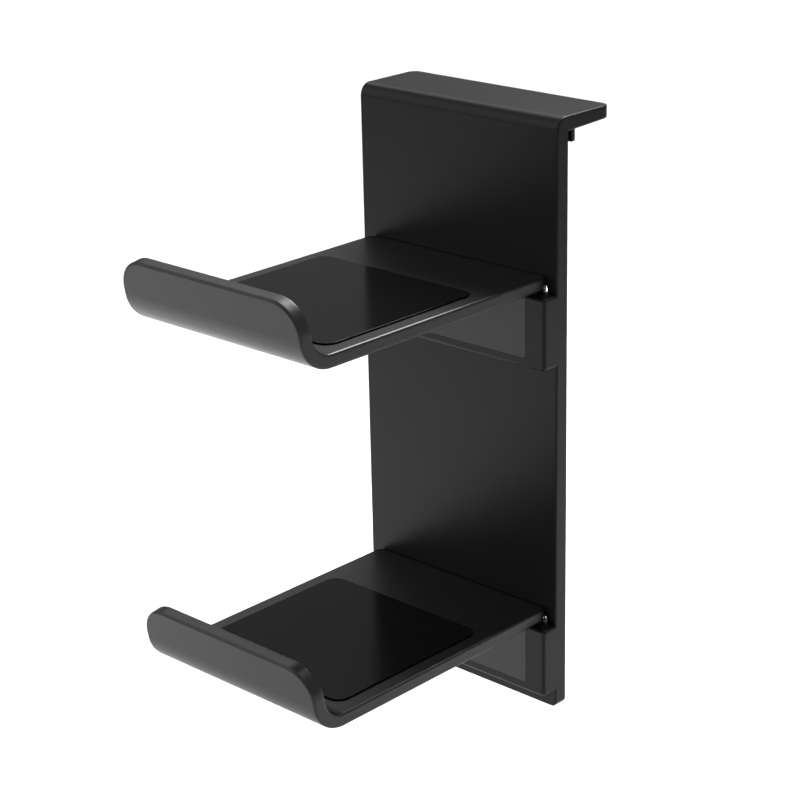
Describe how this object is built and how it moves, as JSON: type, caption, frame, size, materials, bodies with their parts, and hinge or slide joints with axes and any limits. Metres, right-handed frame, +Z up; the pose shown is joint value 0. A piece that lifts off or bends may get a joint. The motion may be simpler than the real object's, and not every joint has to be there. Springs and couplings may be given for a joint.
{
  "type": "controller and headset stand",
  "caption": "Black hook-over stand: an upright plate with a hook flange along its top carries plug-in trays with rounded front lips and rubber pads, for game controllers and a headset.",
  "frame": {"origin": "the inner corner of the hook, where the plate's back face meets the flange's underside, midway along the plate's width", "axes": "+Z up along the plate, +Y backwards along the flange, -Y outwards along the trays, +X along the plate's width"},
  "size_m": [0.0904, 0.1464, 0.2169],
  "materials": {
    "back_plate": "satin black moulded plastic, fine even grain",
    "upper_tray": "satin black moulded plastic, fine even grain",
    "lower_tray": "satin black moulded plastic, fine even grain",
    "pad": "smooth black rubber with a soft sheen"
  },
  "bodies": {
    "root": {"back_plate": "back_plate", "upper_tray": "upper_tray", "lower_tray": "lower_tray", "upper_tray_pad": "pad", "lower_tray_pad": "pad"}
  },
  "joints": []
}
